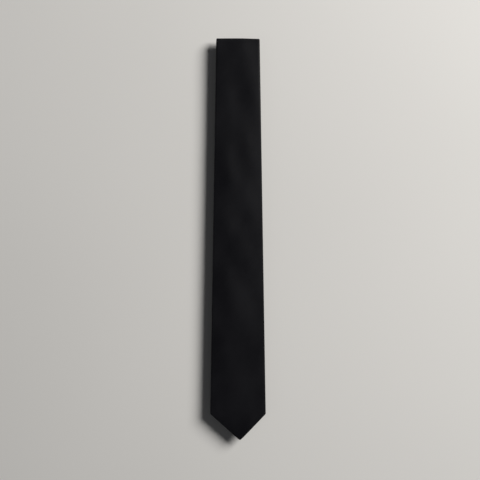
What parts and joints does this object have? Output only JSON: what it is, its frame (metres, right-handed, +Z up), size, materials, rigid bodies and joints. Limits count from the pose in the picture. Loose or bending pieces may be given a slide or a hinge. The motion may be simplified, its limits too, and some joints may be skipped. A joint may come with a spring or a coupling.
{
  "type": "necktie",
  "caption": "Slim plain necktie lying folded on itself, point of the blade uppermost; its layers open out at the folds to the full length.",
  "frame": {"origin": "middle of the footprint of the folded tie, on the surface it lies on", "axes": "+Z up; +Y along the tie from the point of the blade to the first fold; +X to the right, seen from above with the point towards the viewer"},
  "size_m": [0.055, 0.398, 0.0125],
  "materials": {
    "cloth": "matte fine twill",
    "lining": "satin",
    "interlining": "brushed wool blend",
    "thread": "spun thread",
    "label": "satin ribbon"
  },
  "bodies": {
    "neck": {"gusset_shell_neck": "cloth", "tail_shell_neck": "cloth", "gusset_tail_seam": "thread", "neck_interlining": "interlining", "neck_slip_stitch": "thread", "gusset_shell_fold": "cloth", "interlining_middle_fold": "interlining", "tail_shell_fold": "cloth", "interlining_last_fold": "interlining"},
    "upper_blade": {"gusset_shell_upper": "cloth", "blade_shell_upper": "cloth", "blade_gusset_seam": "thread", "upper_interlining": "interlining", "upper_slip_stitch": "thread", "blade_shell_fold": "cloth", "interlining_first_fold": "interlining"},
    "blade": {"blade_shell": "cloth", "blade_interlining": "interlining", "blade_tipping": "lining", "blade_slip_stitch": "thread", "blade_bar_tack": "thread", "keeper_loop": "cloth", "keeper_tack_left": "thread", "keeper_tack_right": "thread", "maker_label_blank": "label", "label_stitch_left": "thread", "label_stitch_right": "thread", "care_label_blank": "label"},
    "tail": {"tail_shell": "cloth", "tail_interlining": "interlining", "tail_tipping": "lining", "tail_slip_stitch": "thread", "tail_bar_tack": "thread"}
  },
  "joints": [
    {"name": "first_fold", "type": "hinge", "parent": "upper_blade", "child": "blade", "pos_m": [0, 0.196, 0.0095], "axis": [-1, 0, 0], "range_deg": [0, 180], "deforming": ["blade_shell_fold", "interlining_first_fold"]},
    {"name": "middle_fold", "type": "hinge", "parent": "neck", "child": "upper_blade", "pos_m": [0, -0.1725, 0.00625], "axis": [1, 0, 0], "range_deg": [0, 180], "deforming": ["gusset_shell_fold", "interlining_middle_fold"]},
    {"name": "last_fold", "type": "hinge", "parent": "neck", "child": "tail", "pos_m": [0, 0.194, 0.003], "axis": [1, 0, 0], "range_deg": [0, 180], "deforming": ["tail_shell_fold", "interlining_last_fold"]}
  ]
}
